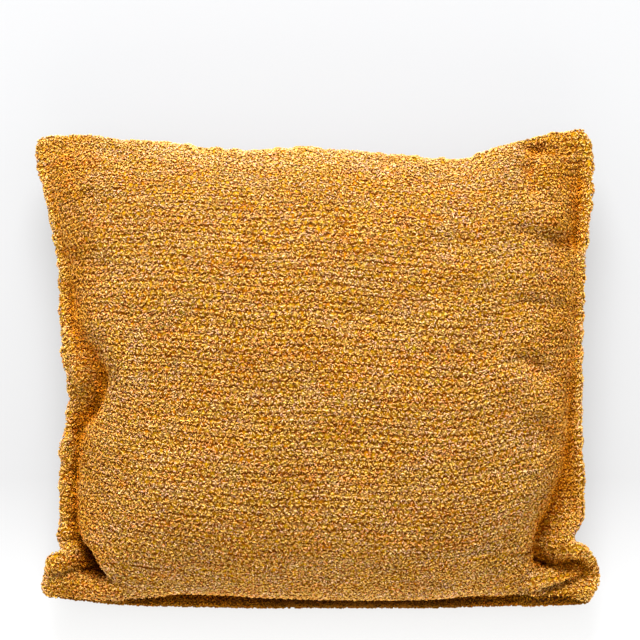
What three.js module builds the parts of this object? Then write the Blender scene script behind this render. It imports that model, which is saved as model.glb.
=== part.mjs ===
// A filled cushion cover of chunky loop-yarn cloth, lying on its back.
//
// Millimetres. +Z is up, out of the face; +Y runs up the face and +X across it.
// The origin is under the middle of the cushion, on the plane that its back rests on.
//
// The cover is one closed body: a crowned front, a back that is flat where it rests
// and rolls up to the seam, a raised seam strip down both sides, a rolled top edge,
// and two bottom corners that are pinched into folded ears.

import * as THREE from 'three';

// ---------------------------------------------------------------- driving sizes

const CROWN = 92;              // rise of the front above the seam plane
const EDGE_THICKNESS = 7;      // two layers of cloth at the outline
const SEAM_STRIP = 10;         // width of the raised strip down each side
const SEAM_RIDGE = 3;          // how far that strip stands up
const SEAM_GROOVE = 1.5;       // and the groove just inside it sinks
const LEAST_THICKNESS = 6;     // cloth and filling left under the deepest fold
const DEEPEST_FOLD = 14;       // and how far under the seam plane a fold may reach
const SET_UP = 3.5;            // moves the tables' outline up so that the origin is under its middle

const FACE_REACH = 236;        // side edge to the middle of the face
const TOP_REACH = 205;         // top edge to the middle
const BOTTOM_REACH = 205;      // bottom edge to the middle
const SIDE_ROUND = 2.8;        // how full the crown is from side to side
const SIDE_POWER = 0.55;       // how blunt it meets the seam strip: 0.5 is square to it
const TOP_ROUND = 2.4;         // and down from the top
const BOTTOM_ROUND = 4;        // and up from the bottom, where the filling has sunk
const BACK_ROLL_SIDE = 80;     // how far in from the sides the back starts to rest
const BACK_ROLL_END = 66;      // and how far in from the top and bottom

// height of the seam plane above the rest plane at the corners and mid sides
const SEAM_HEIGHT = {
  topLeft: 50, top: 58, topRight: 52,
  left: 54, right: 54,
  bottomLeft: 36, bottom: 30, bottomRight: 34,
};

// ------------------------------------------------------- outline, seen on the face

// y up the face, x where the seam strip ends
const LEFT_OUTLINE = [
  { y: -208, x: -246 },
  { y: -200, x: -250 },
  { y: -184, x: -244.5 },
  { y: -176, x: -242 },
  { y: -169, x: -238 },   // top of the ear
  { y: -166, x: -230 },   // notch above it
  { y: -155, x: -232 },
  { y: -121, x: -231 },
  { y: -81, x: -230 },
  { y: -57, x: -226 },
  { y: -43, x: -225.5 },
  { y: -30, x: -223 },
  { y: -21, x: -222.5 },
  { y: -12, x: -224 },
  { y: 2, x: -226.5 },
  { y: 20, x: -228.5 },
  { y: 42, x: -229.5 },
  { y: 55, x: -230 },
  { y: 85, x: -230.5 },
  { y: 125, x: -238 },
  { y: 165, x: -247 },
  { y: 190, x: -252.5 },
  { y: 204, x: -251 },
];

const RIGHT_OUTLINE = [
  { y: -214, x: 245 },
  { y: -205, x: 248 },
  { y: -190, x: 252.5 },
  { y: -176, x: 251 },
  { y: -164, x: 242 },
  { y: -157, x: 229 },   // notch above the ear
  { y: -146, x: 233 },
  { y: -128, x: 238 },
  { y: -100, x: 239 },
  { y: -63, x: 236 },
  { y: 40, x: 236 },
  { y: 85, x: 237.5 },
  { y: 110, x: 240 },
  { y: 132, x: 242.5 },
  { y: 160, x: 245.5 },
  { y: 176, x: 245 },
  { y: 195, x: 244.5 },
  { y: 204, x: 244 },
  { y: 212, x: 240 },
];

// x across the face, y of the rolled edge
const TOP_OUTLINE = [
  { x: -251, y: 204 },
  { x: -240, y: 207 },
  { x: -208, y: 207 },
  { x: -183, y: 204 },
  { x: -139, y: 200 },
  { x: -92, y: 195 },
  { x: -51, y: 193 },
  { x: -14, y: 196 },
  { x: 19, y: 193 },
  { x: 60, y: 189 },
  { x: 129, y: 185 },   // lowest, where the filling has left the corner
  { x: 155, y: 194 },
  { x: 176, y: 201 },
  { x: 206, y: 207 },
  { x: 225, y: 211 },
  { x: 242, y: 212 },
];

const BOTTOM_OUTLINE = [
  { x: -246, y: -208 },
  { x: -232, y: -209.5 },
  { x: -214, y: -211.5 },
  { x: -196, y: -214 },
  { x: -178, y: -215.5 },
  { x: -150, y: -217 },
  { x: -100, y: -218 },
  { x: -60, y: -219 },
  { x: 100, y: -219 },
  { x: 150, y: -217.5 },
  { x: 204, y: -216 },
  { x: 235, y: -215.5 },
  { x: 246, y: -214 },
];

// ------------------------------------------------------------- where the face swells

// the sides of the swelling face, plainer than the outline: they don't follow the ears
const LEFT_FACE = [
  { y: -215, x: -233 },
  { y: -121, x: -231 },
  { y: -26, x: -226 },
  { y: 85, x: -232 },
  { y: 206, x: -253 },
];
const RIGHT_FACE = [
  { y: -215, x: 236 },
  { y: -63, x: 236 },
  { y: 85, x: 239 },
  { y: 212, x: 245 },
];

// where the folds at the sides and ears hold the face back, over how far it regains its height,
// and how much of its height they take (0 none, 1 all)
const LEFT_TUCK = [
  { y: -216, x: -202, reach: 34, hold: 0.5 },
  { y: -204, x: -195, reach: 28, hold: 0.75 },
  { y: -194, x: -189, reach: 16, hold: 1 },
  { y: -186, x: -193, reach: 10, hold: 1 },
  { y: -178, x: -198, reach: 9, hold: 1 },
  { y: -170, x: -203, reach: 9, hold: 0.9 },
  { y: -162, x: -208, reach: 10, hold: 0.75 },
  { y: -150, x: -215, reach: 13, hold: 0.58 },
  { y: -136, x: -218, reach: 18, hold: 0.45 },
  { y: -110, x: -219, reach: 22, hold: 0.38 },
  { y: -80, x: -217, reach: 22, hold: 0.36 },
  { y: -55, x: -208, reach: 19, hold: 0.45 },
  { y: -45, x: -198, reach: 17, hold: 0.5 },
  { y: -34, x: -189, reach: 16, hold: 0.5 },
  { y: -22, x: -184, reach: 16, hold: 0.45 },
  { y: -13, x: -182, reach: 18, hold: 0.38 },
  { y: 0, x: -184, reach: 26, hold: 0.3 },
  { y: 12, x: -193, reach: 30, hold: 0.24 },
  { y: 35, x: -207, reach: 30, hold: 0.2 },
  { y: 60, x: -214, reach: 30, hold: 0.18 },
  { y: 90, x: -217, reach: 30, hold: 0.14 },
  { y: 120, x: -230, reach: 30, hold: 0.05 },
  { y: 206, x: -246, reach: 24, hold: 0 },
];

const RIGHT_TUCK = [
  { y: -216, x: 206, reach: 36, hold: 1 },
  { y: -202, x: 206, reach: 32, hold: 1 },
  { y: -188, x: 200, reach: 28, hold: 0.78 },
  { y: -175, x: 193, reach: 32, hold: 0.64 },
  { y: -160, x: 191, reach: 38, hold: 0.55 },
  { y: -143, x: 195, reach: 42, hold: 0.52 },
  { y: -125, x: 205, reach: 42, hold: 0.42 },
  { y: -100, x: 214, reach: 38, hold: 0.34 },
  { y: -63, x: 220, reach: 30, hold: 0.28 },
  { y: -20, x: 222, reach: 30, hold: 0.22 },
  { y: 30, x: 228, reach: 30, hold: 0.1 },
  { y: 70, x: 230, reach: 30, hold: 0.05 },
  { y: 212, x: 238, reach: 30, hold: 0 },
];

// how far the front's lower lip stands back from the back's lower edge
const LOWER_LIP = [
  { x: -246, inset: 1 },
  { x: -232, inset: 2 },
  { x: -214, inset: 3 },
  { x: -196, inset: 5 },
  { x: -178, inset: 6.5 },
  { x: -154, inset: 10 },
  { x: -140, inset: 12.5 },
  { x: -120, inset: 15 },
  { x: -80, inset: 15.5 },
  { x: -50, inset: 13.5 },
  { x: -20, inset: 12.5 },
  { x: 60, inset: 11.5 },
  { x: 100, inset: 11 },
  { x: 125, inset: 12.5 },
  { x: 146, inset: 13 },
  { x: 170, inset: 12.5 },
  { x: 190, inset: 12 },
  { x: 205, inset: 11 },
  { x: 225, inset: 9 },
  { x: 238, inset: 4.5 },
  { x: 246, inset: 2 },
];

// ------------------------------------------------------------------- folds and ears

// rounded rolls of cloth, from one end to the other: half width and rise above the seam plane
const ROLLS = [
  { name: 'left ear, upper', x0: -243, y0: -178, r0: 13, rise0: 12, x1: -228, y1: -170, r1: 15, rise1: 29 },
  { name: 'left ear, lower', x0: -249, y0: -197, r0: 12, rise0: 9, x1: -180, y1: -199, r1: 16, rise1: 38 },
  { name: 'left side, above the ear', x0: -227, y0: -150, r0: 8, rise0: 13, x1: -225, y1: -64, r1: 9, rise1: 15 },
  { name: 'left side, elbow', x0: -216, y0: 24, r0: 13, rise0: 20, x1: -207, y1: -6, r1: 15, rise1: 31 },
  { name: 'top right corner', x0: 206, y0: 164, r0: 20, rise0: 24, x1: 222, y1: 184, r1: 15, rise1: 15 },
  { name: 'right side, above the ear', x0: 219, y0: -96, r0: 13, rise0: 15, x1: 213, y1: -157, r1: 20, rise1: 34 },
  { name: 'right ear, outer', x0: 226, y0: -160, r0: 13, rise0: 24, x1: 246, y1: -170, r1: 12, rise1: 14 },
  { name: 'right ear, middle', x0: 192, y0: -193, r0: 14, rise0: 38, x1: 232, y1: -188, r1: 10, rise1: 22 },
  { name: 'right ear, lower', x0: 192, y0: -205, r0: 14, rise0: 32, x1: 250, y1: -199, r1: 13, rise1: 11 },
];

// soft troughs (depth above 0) and ridges (depth below 0) pressed into the front
const FOLDS = [
  { name: 'top left, upper', x0: -224, y0: 198, x1: -196, y1: 196, half: 8, depth: 5 },
  { name: 'top left, at the side', x0: -202, y0: 152, x1: -196, y1: 142, half: 9, depth: 9 },
  { name: 'top left, inner', x0: -186, y0: 190, x1: -172, y1: 184, half: 9, depth: 9 },
  { name: 'top left, lower', x0: -226, y0: 103, x1: -194, y1: 92, half: 9, depth: 5 },
  { name: 'top left ridge', x0: -232, y0: 184, x1: -190, y1: 112, half: 14, depth: -4 },
  { name: 'left valley, upper', x0: -207, y0: 98, x1: -215, y1: 62, half: 13, depth: 6 },
  { name: 'left valley, middle', x0: -215, y0: 62, x1: -211, y1: 26, half: 13, depth: 6 },
  { name: 'left valley, lower', x0: -208, y0: 26, x1: -194, y1: 4, half: 12, depth: 6 },
  { name: 'left hollow, upper', x0: -194, y0: 16, x1: -188, y1: -6, half: 11, depth: 8 },
  { name: 'left hollow, middle', x0: -188, y0: -14, x1: -197, y1: -37, half: 10, depth: 11 },
  { name: 'left hollow, lower', x0: -197, y0: -37, x1: -212, y1: -56, half: 9, depth: 12 },
  { name: 'left hollow, run-out', x0: -212, y0: -60, x1: -218, y1: -95, half: 9, depth: 8 },
  { name: 'left side, groove', x0: -218, y0: -95, x1: -219, y1: -136, half: 8, depth: 8 },
  { name: 'left side, groove end', x0: -220, y0: -138, x1: -215, y1: -150, half: 7, depth: 9 },
  { name: 'left ear, notch', x0: -214, y0: -154, x1: -206, y1: -166, half: 4.5, depth: 14 },
  { name: 'left ear, pit', x0: -206, y0: -165, x1: -195, y1: -187, half: 4.5, depth: 28 },
  { name: 'left ear, side of the pit', x0: -210, y0: -171, x1: -206, y1: -184, half: 6, depth: 14 },
  { name: 'left ear, crease', x0: -213, y0: -186, x1: -194, y1: -187, half: 4, depth: 26 },
  { name: 'left ear, ridge', x0: -244, y0: -187, x1: -215, y1: -186, half: 8, depth: -13 },
  { name: 'top right, end of the crease', x0: 188, y0: 197, x1: 200, y1: 193, half: 8, depth: 22 },
  { name: 'top right, crease', x0: 200, y0: 193, x1: 236, y1: 193, half: 7, depth: 8 },
  { name: 'top right, bend', x0: 191, y0: 190, x1: 187, y1: 176, half: 8, depth: 13 },
  { name: 'top right, bend down', x0: 187, y0: 176, x1: 189, y1: 158, half: 8, depth: 13 },
  { name: 'top right, bend out', x0: 189, y0: 158, x1: 200, y1: 146, half: 8, depth: 9 },
  { name: 'top right ridge', x0: 186, y0: 155, x1: 214, y1: 125, half: 10, depth: -7 },
  { name: 'top right trough', x0: 178, y0: 119, x1: 212, y1: 111, half: 9, depth: 10 },
  { name: 'top right trough, rising', x0: 212, y0: 111, x1: 227, y1: 117, half: 9, depth: 8 },
  { name: 'top right, side', x0: 225, y0: 120, x1: 228, y1: 170, half: 13, depth: 12 },
  { name: 'top right, corner pucker', x0: 237, y0: 182, x1: 238, y1: 181, half: 4, depth: 9 },
  { name: 'top right, side pucker', x0: 239, y0: 168, x1: 240, y1: 164, half: 4.5, depth: 10 },
  { name: 'right side, first crease', x0: 178, y0: 59, x1: 220, y1: 56, half: 8, depth: 6 },
  { name: 'right side, second crease', x0: 178, y0: 9, x1: 198, y1: -1, half: 9, depth: 9 },
  { name: 'right side ridge', x0: 160, y0: -8, x1: 205, y1: -38, half: 14, depth: -5 },
  { name: 'right side, third crease', x0: 196, y0: -44, x1: 203, y1: -64, half: 9, depth: 8 },
  { name: 'right shadow, upper', x0: 223, y0: -12, x1: 224, y1: -42, half: 10, depth: 5 },
  { name: 'right shadow, lower', x0: 224, y0: -42, x1: 222, y1: -77, half: 10, depth: 5 },
  { name: 'right valley, upper', x0: 222, y0: -77, x1: 217, y1: -112, half: 15, depth: 12 },
  { name: 'right valley, middle', x0: 215, y0: -112, x1: 202, y1: -138, half: 22, depth: 13 },
  { name: 'right valley, lower', x0: 204, y0: -138, x1: 196, y1: -162, half: 19, depth: 10 },
  { name: 'right ear, start of the upper crease', x0: 196, y0: -175, x1: 206, y1: -181, half: 4, depth: 15 },
  { name: 'right ear, upper crease', x0: 206, y0: -181, x1: 226, y1: -183, half: 4, depth: 27 },
  { name: 'right ear, end of the upper crease', x0: 225, y0: -181, x1: 239, y1: -172, half: 4, depth: 13 },
  { name: 'right ear, tip', x0: 239, y0: -182, x1: 240, y1: -185, half: 8, depth: 20 },
  { name: 'right ear, start of the lower crease', x0: 203, y0: -199, x1: 224, y1: -194, half: 4, depth: 14 },
  { name: 'right ear, lower crease', x0: 224, y0: -194, x1: 244, y1: -190, half: 4, depth: 20 },
];

// -------------------------------------------------------------------- small helpers

const clamp = (v, lo, hi) => Math.min(hi, Math.max(lo, v));
const mix = (a, b, t) => a + (b - a) * t;
const ease = (t) => { const c = clamp(t, 0, 1); return c * c * (3 - 2 * c); };
const quarterRound = (t) => Math.sqrt(1 - (1 - clamp(t, 0, 1)) ** 2);

// a smooth curve through a table's rows that never overshoots them
function along(rows, key, column, at) {
  const n = rows.length;
  const k = (i) => rows[clamp(i, 0, n - 1)][key];
  const v = (i) => rows[clamp(i, 0, n - 1)][column];
  if (at <= k(0)) return v(0);
  if (at >= k(n - 1)) return v(n - 1);
  let i = 0;
  while (at > k(i + 1)) i += 1;
  const rise = (a) => (a < 0 || a > n - 2 ? 0 : (v(a + 1) - v(a)) / (k(a + 1) - k(a)));
  const slope = (a) => {
    const before = rise(a - 1);
    const after = rise(a);
    return before * after <= 0 ? 0 : (2 * before * after) / (before + after);
  };
  const h = k(i + 1) - k(i);
  const t = (at - k(i)) / h;
  return (2 * t ** 3 - 3 * t ** 2 + 1) * v(i) + (t ** 3 - 2 * t ** 2 + t) * h * slope(i)
    + (3 * t ** 2 - 2 * t ** 3) * v(i + 1) + (t ** 3 - t ** 2) * h * slope(i + 1);
}

// the larger of two heights, with the corner between them rounded over a blend height
function softMax(a, b, blend) {
  const h = Math.max(blend - Math.abs(a - b), 0) / blend;
  return Math.max(a, b) + h * h * blend * 0.25;
}

// how far along a fold a point lies (0 to 1) and how far to its side
function nearFold(f, x, y) {
  const dx = f.x1 - f.x0;
  const dy = f.y1 - f.y0;
  const raw = ((x - f.x0) * dx + (y - f.y0) * dy) / (dx * dx + dy * dy);
  const t = clamp(raw, 0, 1);
  return { t, away: Math.hypot(x - f.x0 - dx * t, y - f.y0 - dy * t) };
}

// ----------------------------------------------------------------- the cushion's form

const first = (rows) => rows[0];
const last = (rows) => rows[rows.length - 1];
const CORNERS = {
  bottomLeft: first(LEFT_OUTLINE),
  topLeft: last(LEFT_OUTLINE),
  bottomRight: first(RIGHT_OUTLINE),
  topRight: last(RIGHT_OUTLINE),
};

// place on the face for s across (0 left, 1 right) and t up (0 bottom, 1 top)
function planAt(s, t) {
  const leftY = mix(CORNERS.bottomLeft.y, CORNERS.topLeft.y, t);
  const rightY = mix(CORNERS.bottomRight.y, CORNERS.topRight.y, t);
  const bottomX = mix(CORNERS.bottomLeft.x, CORNERS.bottomRight.x, s);
  const topX = mix(CORNERS.topLeft.x, CORNERS.topRight.x, s);
  const leftX = along(LEFT_OUTLINE, 'y', 'x', leftY);
  const rightX = along(RIGHT_OUTLINE, 'y', 'x', rightY);
  const bottomY = along(BOTTOM_OUTLINE, 'x', 'y', bottomX);
  const topY = along(TOP_OUTLINE, 'x', 'y', topX);
  const cornersX = mix(mix(CORNERS.bottomLeft.x, CORNERS.bottomRight.x, s),
    mix(CORNERS.topLeft.x, CORNERS.topRight.x, s), t);
  const cornersY = mix(mix(CORNERS.bottomLeft.y, CORNERS.bottomRight.y, s),
    mix(CORNERS.topLeft.y, CORNERS.topRight.y, s), t);
  return {
    x: mix(leftX, rightX, s) + mix(bottomX, topX, t) - cornersX,
    y: mix(leftY, rightY, s) + mix(bottomY, topY, t) - cornersY,
    leftX, rightX, bottomY, topY,
  };
}

// height of the seam plane: it sags a little between its corners
function seamHeight(s, t) {
  const q = SEAM_HEIGHT;
  const curve = (a, m, b, u) => a * (1 - u) * (1 - 2 * u) + 4 * m * u * (1 - u) + b * u * (2 * u - 1);
  const side = mix(curve(q.bottomLeft, q.left, q.topLeft, t), curve(q.bottomRight, q.right, q.topRight, t), s);
  const end = mix(curve(q.bottomLeft, q.bottom, q.bottomRight, s), curve(q.topLeft, q.top, q.topRight, s), t);
  const corners = mix(mix(q.bottomLeft, q.bottomRight, s), mix(q.topLeft, q.topRight, s), t);
  return side + end - corners;
}

// height of the front above the rest plane
function frontHeight(s, t, p) {
  const seam = seamHeight(s, t);
  const fromLeft = p.x - p.leftX;
  const fromRight = p.rightX - p.x;
  const fromSide = Math.min(fromLeft, fromRight);

  // the raised strip along each side seam, and the groove inside it
  const strip = fromSide < SEAM_STRIP
    ? SEAM_RIDGE * Math.sin((Math.PI * (fromSide + 2)) / (SEAM_STRIP + 2))
    : -SEAM_GROOVE * Math.exp(-(((fromSide - SEAM_STRIP - 2) / 4) ** 2));
  let height = seam + EDGE_THICKNESS / 2 + strip;

  // the swell of the filled face, held back beside the ears
  const leftSide = along(LEFT_FACE, 'y', 'x', p.y);
  const rightSide = along(RIGHT_FACE, 'y', 'x', p.y);
  const across = clamp((Math.min(p.x - leftSide, rightSide - p.x) - SEAM_STRIP) / (FACE_REACH - SEAM_STRIP), 0, 1);
  const onLeft = fromLeft < fromRight;
  const tuckRows = onLeft ? LEFT_TUCK : RIGHT_TUCK;
  const tuckX = along(tuckRows, 'y', 'x', p.y);
  const into = onLeft ? p.x - tuckX : tuckX - p.x;
  const wall = quarterRound(into / along(tuckRows, 'y', 'reach', p.y));
  const tuck = 1 - along(tuckRows, 'y', 'hold', p.y) * (1 - wall);
  const lip = along(LOWER_LIP, 'x', 'inset', p.x);
  const down = clamp((p.topY - p.y) / TOP_REACH, 0, 1);
  const up = clamp((p.y - p.bottomY - lip) / BOTTOM_REACH, 0, 1);
  const swell = tuck * (1 - (1 - across) ** SIDE_ROUND) ** SIDE_POWER
    * Math.sqrt(1 - (1 - down) ** TOP_ROUND)
    * Math.sqrt(1 - (1 - up) ** BOTTOM_ROUND);
  height = softMax(height, seam + CROWN * swell, 6);

  // rolls of cloth at the ears and down the sides
  for (const roll of ROLLS) {
    const { t: u, away } = nearFold(roll, p.x, p.y);
    const off = Math.min(away / mix(roll.r0, roll.r1, u), 3);
    height = softMax(height, seam + mix(roll.rise0, roll.rise1, u) * (1 - off * off), 6);
  }

  // folds pressed into it, which never go through to the back
  let pressed = 0;
  for (const fold of FOLDS) {
    const { away } = nearFold(fold, p.x, p.y);
    pressed += fold.depth * Math.exp(-((away / fold.half) ** 2));
  }
  const floor = Math.max(backHeight(s, t, p) + LEAST_THICKNESS, seam - DEEPEST_FOLD);
  const room = height - floor;
  return height - (pressed > 0 ? room * (1 - Math.exp(-pressed / Math.max(room, 1))) : pressed * ease(room / 20));
}

// height of the back: flat on the rest plane, rolling up to the seam
function backHeight(s, t, p) {
  const seam = seamHeight(s, t) - EDGE_THICKNESS / 2;
  const across = clamp(Math.min(p.x - p.leftX, p.rightX - p.x) / BACK_ROLL_SIDE, 0, 1);
  const lengthwise = clamp(Math.min(p.y - p.bottomY, p.topY - p.y) / BACK_ROLL_END, 0, 1);
  const off = Math.min(1, Math.cbrt((1 - across) ** 3 + (1 - lengthwise) ** 3));
  return seam * off ** 3;
}

// ------------------------------------------------------------------------- the mesh

// grid lines: close together where the seams and ears are, wide apart in the middle
function gridLines(runs) {
  const lines = [0];
  for (const run of runs) for (let i = 0; i < run.count; i += 1) lines.push(last(lines) + run.step);
  return lines.map((v) => v / last(lines));
}

const ACROSS = gridLines([
  { count: 4, step: 3.4 }, { count: 13, step: 4.8 }, { count: 3, step: 9 },
  { count: 8, step: 37 },
  { count: 3, step: 9 }, { count: 11, step: 5.6 }, { count: 4, step: 3.4 },
]);
const UP = gridLines([
  { count: 2, step: 3 }, { count: 14, step: 4.2 }, { count: 3, step: 8 },
  { count: 4, step: 13.7 }, { count: 13, step: 8.6 }, { count: 6, step: 16.3 },
  { count: 5, step: 8 }, { count: 5, step: 5 }, { count: 2, step: 3 },
]);
const BACK_BAND = { left: 18, right: 16, bottom: 16, top: 11 };   // lines kept in the rolled part of the back

const SPREAD = [-0.5, -0.25, 0, 0.25, 0.5];     // places round a grid line, as shares of the way to the next one

// mean height over the cell round a grid point, so that a narrow crease stays even from one grid line to the next
function cellHeight(i, j) {
  const between = (lines, n, u) => {
    const next = n + Math.sign(u);
    return next < 0 || next >= lines.length || n === 0 || n === lines.length - 1
      ? lines[n] : mix(lines[n], lines[next], Math.abs(u));
  };
  let sum = 0;
  for (const u of SPREAD) {
    for (const v of SPREAD) {
      const s = between(ACROSS, i, u);
      const t = between(UP, j, v);
      sum += frontHeight(s, t, planAt(s, t));
    }
  }
  return sum / SPREAD.length ** 2;
}

function buildCover() {
  const cols = ACROSS.length;
  const rows = UP.length;
  const points = [];
  const faces = [];
  const add = (x, y, z) => points.push(x, y + SET_UP, z) / 3 - 1;
  const quad = (a, b, c, d, turn) => {
    if (turn) faces.push(a, b, d, b, c, d); else faces.push(a, b, c, a, c, d);
  };

  const front = [];
  const back = [];
  const isFlat = (i, j) => i >= BACK_BAND.left && i <= cols - 1 - BACK_BAND.right
    && j >= BACK_BAND.bottom && j <= rows - 1 - BACK_BAND.top;
  const inFlat = (i, j) => i > BACK_BAND.left && i < cols - 1 - BACK_BAND.right
    && j > BACK_BAND.bottom && j < rows - 1 - BACK_BAND.top;
  for (let j = 0; j < rows; j += 1) {
    front.push([]);
    back.push([]);
    for (let i = 0; i < cols; i += 1) {
      const p = planAt(ACROSS[i], UP[j]);
      front[j].push(add(p.x, p.y, cellHeight(i, j)));
      if (inFlat(i, j)) back[j].push(-1);
      else back[j].push(add(p.x, p.y, isFlat(i, j) ? 0 : backHeight(ACROSS[i], UP[j], p)));
    }
  }

  for (let j = 0; j < rows - 1; j += 1) {
    for (let i = 0; i < cols - 1; i += 1) {
      // each cell is split along its flatter diagonal, so that ridges and creases run unbroken
      const z = (v) => points[3 * v + 2];
      const rising = Math.abs(z(front[j][i]) - z(front[j + 1][i + 1]));
      const falling = Math.abs(z(front[j][i + 1]) - z(front[j + 1][i]));
      const turn = Math.abs(rising - falling) < 0.2 ? (i + j) % 2 : rising > falling;
      quad(front[j][i], front[j][i + 1], front[j + 1][i + 1], front[j + 1][i], turn);
      const inside = isFlat(i, j) && isFlat(i + 1, j + 1);
      if (!inside) quad(back[j][i], back[j + 1][i], back[j + 1][i + 1], back[j][i + 1], (i + j) % 2);
    }
  }

  // the outline's edge, between front and back
  const rim = [];
  for (let i = 0; i < cols - 1; i += 1) rim.push([0, i]);
  for (let j = 0; j < rows - 1; j += 1) rim.push([j, cols - 1]);
  for (let i = cols - 1; i > 0; i -= 1) rim.push([rows - 1, i]);
  for (let j = rows - 1; j > 0; j -= 1) rim.push([j, 0]);
  rim.forEach(([j, i], n) => {
    const [j2, i2] = rim[(n + 1) % rim.length];
    quad(back[j][i], back[j2][i2], front[j2][i2], front[j][i], 0);
  });

  // the flat that it rests on, one plain face inside the rolled part
  const ring = [];
  const i0 = BACK_BAND.left;
  const i1 = cols - 1 - BACK_BAND.right;
  const j0 = BACK_BAND.bottom;
  const j1 = rows - 1 - BACK_BAND.top;
  for (let i = i0; i < i1; i += 1) ring.push(back[j0][i]);
  for (let j = j0; j < j1; j += 1) ring.push(back[j][i1]);
  for (let i = i1; i > i0; i -= 1) ring.push(back[j1][i]);
  for (let j = j1; j > j0; j -= 1) ring.push(back[j][i0]);
  const flat = ring.map((v) => new THREE.Vector2(points[3 * v], points[3 * v + 1]));
  for (const [a, b, c] of THREE.ShapeUtils.triangulateShape(flat, [])) faces.push(ring[a], ring[c], ring[b]);

  const geometry = new THREE.BufferGeometry();
  geometry.setAttribute('position', new THREE.Float32BufferAttribute(points, 3));
  geometry.setIndex(faces);
  geometry.computeVertexNormals();
  return geometry;
}

const cloth = new THREE.MeshStandardMaterial({ color: 0xc8922e, roughness: 0.95, metalness: 0 });
const cover = new THREE.Mesh(buildCover(), cloth);
cover.name = 'cushion_cover';

const cushion = new THREE.Group();
cushion.add(cover);

export default cushion;
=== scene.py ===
"""A filled cushion cover of chunky loop-yarn cloth, lying on its back, seen from straight above.

The cloth is a closed crowned form with its folds, and the yarn's curls are laid on it one by one,
in the weave's rows, from named sizes and seeded chance. Millimetres until a mesh is made.
"""
import math

import bpy
import numpy as np
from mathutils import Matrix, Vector


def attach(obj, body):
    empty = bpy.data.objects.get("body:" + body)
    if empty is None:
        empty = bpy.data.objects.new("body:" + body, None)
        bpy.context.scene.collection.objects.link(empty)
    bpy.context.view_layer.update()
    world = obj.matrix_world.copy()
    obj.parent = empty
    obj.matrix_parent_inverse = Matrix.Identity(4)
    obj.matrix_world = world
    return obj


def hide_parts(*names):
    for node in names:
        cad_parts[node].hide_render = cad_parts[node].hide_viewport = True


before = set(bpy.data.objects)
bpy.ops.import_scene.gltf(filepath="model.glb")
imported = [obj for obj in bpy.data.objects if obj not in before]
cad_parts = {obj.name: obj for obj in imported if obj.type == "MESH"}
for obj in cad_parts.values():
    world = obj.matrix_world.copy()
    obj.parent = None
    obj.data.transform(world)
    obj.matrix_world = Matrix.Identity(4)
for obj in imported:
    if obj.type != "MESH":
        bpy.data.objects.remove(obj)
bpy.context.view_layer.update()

# ------------------------------------------------------------------ the cushion's sizes

CROWN, EDGE_THICKNESS = 92.0, 7.0
SEAM_STRIP, SEAM_RIDGE, SEAM_GROOVE = 10.0, 3.0, 1.5
SET_UP = 3.5
FACE_REACH, TOP_REACH, BOTTOM_REACH = 236.0, 205.0, 205.0
SIDE_ROUND, SIDE_POWER, TOP_ROUND, BOTTOM_ROUND = 2.8, 0.55, 2.4, 4.0
BACK_ROLL_SIDE, BACK_ROLL_END = 80.0, 66.0
SEAM_HEIGHT = dict(top_left=50, top=58, top_right=52, left=54, right=54, bottom_left=36, bottom=30, bottom_right=34)

# outline: (y up the face, x)
LEFT_OUTLINE = [(-208, -246), (-200, -250), (-184, -244.5), (-176, -242), (-169, -238), (-166, -230), (-155, -232), (-121, -231),
                (-81, -230), (-57, -226), (-43, -225.5), (-30, -223), (-21, -222.5), (-12, -224), (2, -226.5), (20, -228.5),
                (42, -229.5), (55, -230), (85, -230.5), (125, -238), (165, -247), (190, -252.5), (204, -251)]
RIGHT_OUTLINE = [(-214, 245), (-205, 248), (-190, 252.5), (-176, 251), (-164, 242), (-157, 229), (-146, 233), (-128, 238),
                 (-100, 239), (-63, 236), (40, 236), (85, 237.5), (110, 240), (132, 242.5), (160, 245.5), (176, 245),
                 (195, 244.5), (204, 244), (212, 240)]
# (x, y)
TOP_OUTLINE = [(-251, 204), (-240, 207), (-208, 207), (-183, 204), (-139, 200), (-92, 195), (-51, 193), (-14, 196), (19, 193),
               (60, 189), (129, 185), (155, 194), (176, 201), (206, 207), (225, 211), (242, 212)]
BOTTOM_OUTLINE = [(-246, -208), (-232, -209.5), (-214, -211.5), (-196, -214), (-178, -215.5), (-150, -217), (-100, -218),
                  (-60, -219), (100, -219), (150, -217.5), (204, -216), (235, -215.5), (246, -214)]
# the sides of the swelling face: (y, x)
LEFT_FACE = [(-215, -233), (-121, -231), (-26, -226), (85, -232), (206, -253)]
RIGHT_FACE = [(-215, 236), (-63, 236), (85, 239), (212, 245)]
# where the folds hold the face back: (y, x, reach over which it regains its height, hold)
LEFT_TUCK = [(-216, -202, 34, 0.5), (-204, -195, 28, 0.75), (-194, -189, 16, 1), (-186, -193, 10, 1), (-178, -198, 9, 1),
             (-170, -203, 9, 0.9), (-162, -208, 10, 0.75), (-150, -215, 13, 0.58), (-136, -218, 18, 0.45), (-110, -219, 22, 0.38),
             (-80, -217, 22, 0.36), (-55, -208, 19, 0.45), (-45, -198, 17, 0.5), (-34, -189, 16, 0.5), (-22, -184, 16, 0.45),
             (-13, -182, 18, 0.38), (0, -184, 26, 0.3), (12, -193, 30, 0.24), (35, -207, 30, 0.2), (60, -214, 30, 0.18),
             (90, -217, 30, 0.14), (120, -230, 30, 0.05), (206, -246, 24, 0)]
RIGHT_TUCK = [(-216, 206, 36, 1), (-202, 206, 32, 1), (-188, 200, 28, 0.78), (-175, 193, 32, 0.64), (-160, 191, 38, 0.55),
              (-143, 195, 42, 0.52), (-125, 205, 42, 0.42), (-100, 214, 38, 0.34), (-63, 220, 30, 0.28),
              (-20, 222, 30, 0.22), (30, 228, 30, 0.1), (70, 230, 30, 0.05), (212, 238, 30, 0)]
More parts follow.
